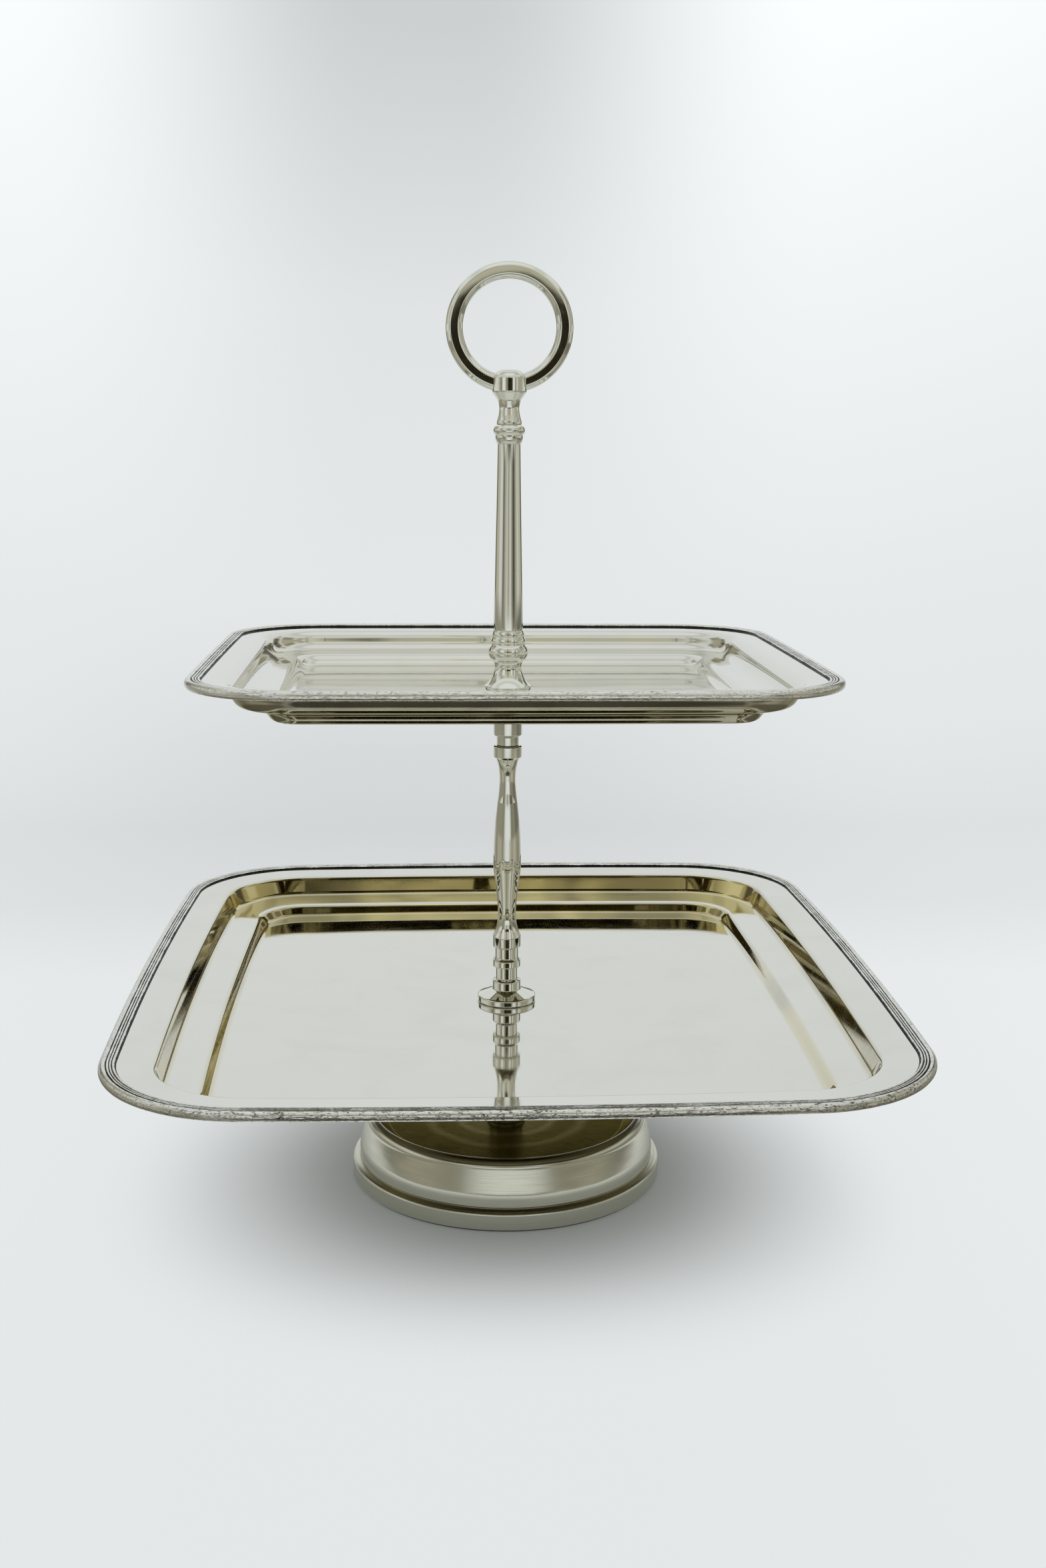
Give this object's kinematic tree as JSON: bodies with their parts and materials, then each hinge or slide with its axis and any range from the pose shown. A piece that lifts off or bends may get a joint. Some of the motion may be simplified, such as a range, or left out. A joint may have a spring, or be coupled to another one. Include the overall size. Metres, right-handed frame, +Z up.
{
  "type": "tiered cake stand",
  "caption": "Tiered cake stand: pressed rectangular trays with reeded borders on a turned column, with a round foot and a ring handle.",
  "frame": {"origin": "on the column's axis, on the surface that the foot rests on", "axes": "+Z up along the column, +X to the right across the trays' width and the ring, +Y to the back"},
  "size_m": [0.32, 0.366, 0.3988],
  "materials": {
    "tray_plate": "mirror-polished silver plate with fine wipe marks",
    "border_plate": "worn silver plate, dark in the grooves",
    "foot_plate": "satin turned silver plate with polished edges",
    "column_plate": "polished silver plate with light tarnish",
    "steel": "zinc-plated steel",
    "gasket_rubber": "matt black rubber",
    "felt": "dark pressed felt"
  },
  "bodies": {
    "stand": {"foot_felt_ring": "felt", "foot_rim_ring": "foot_plate", "foot_drum": "foot_plate", "foot_clamp_washer": "steel", "foot_lock_washer": "steel", "foot_nut": "steel", "tie_rod": "steel", "foot_pillar": "column_plate", "lower_support_washer": "steel", "lower_gasket": "gasket_rubber", "lower_flange": "column_plate", "lower_collar": "column_plate", "lower_baluster": "column_plate", "upper_seat_collar": "column_plate", "upper_support_washer": "steel", "upper_gasket": "gasket_rubber"},
    "lower_tier": {"lower_tray": "tray_plate", "lower_tray_border": "border_plate"},
    "upper_tier": {"upper_tray": "tray_plate", "upper_tray_border": "border_plate"},
    "handle": {"upper_column_base": "column_plate", "upper_column_tube": "column_plate", "handle_collar": "column_plate", "handle_stem": "column_plate", "handle_ring": "column_plate", "handle_stud": "steel"}
  },
  "joints": [
    {"name": "lower_tray_turn", "type": "hinge", "parent": "stand", "child": "lower_tier", "pos_m": [0, 0, 0.0796], "axis": [0, 0, 1], "continuous": true},
    {"name": "upper_tray_turn", "type": "hinge", "parent": "stand", "child": "upper_tier", "pos_m": [0, 0, 0.2185], "axis": [0, 0, 1], "continuous": true},
    {"name": "handle_turn", "type": "hinge", "parent": "stand", "child": "handle", "pos_m": [0, 0, 0.2186], "axis": [0, 0, 1], "range_deg": [0, 360]}
  ]
}
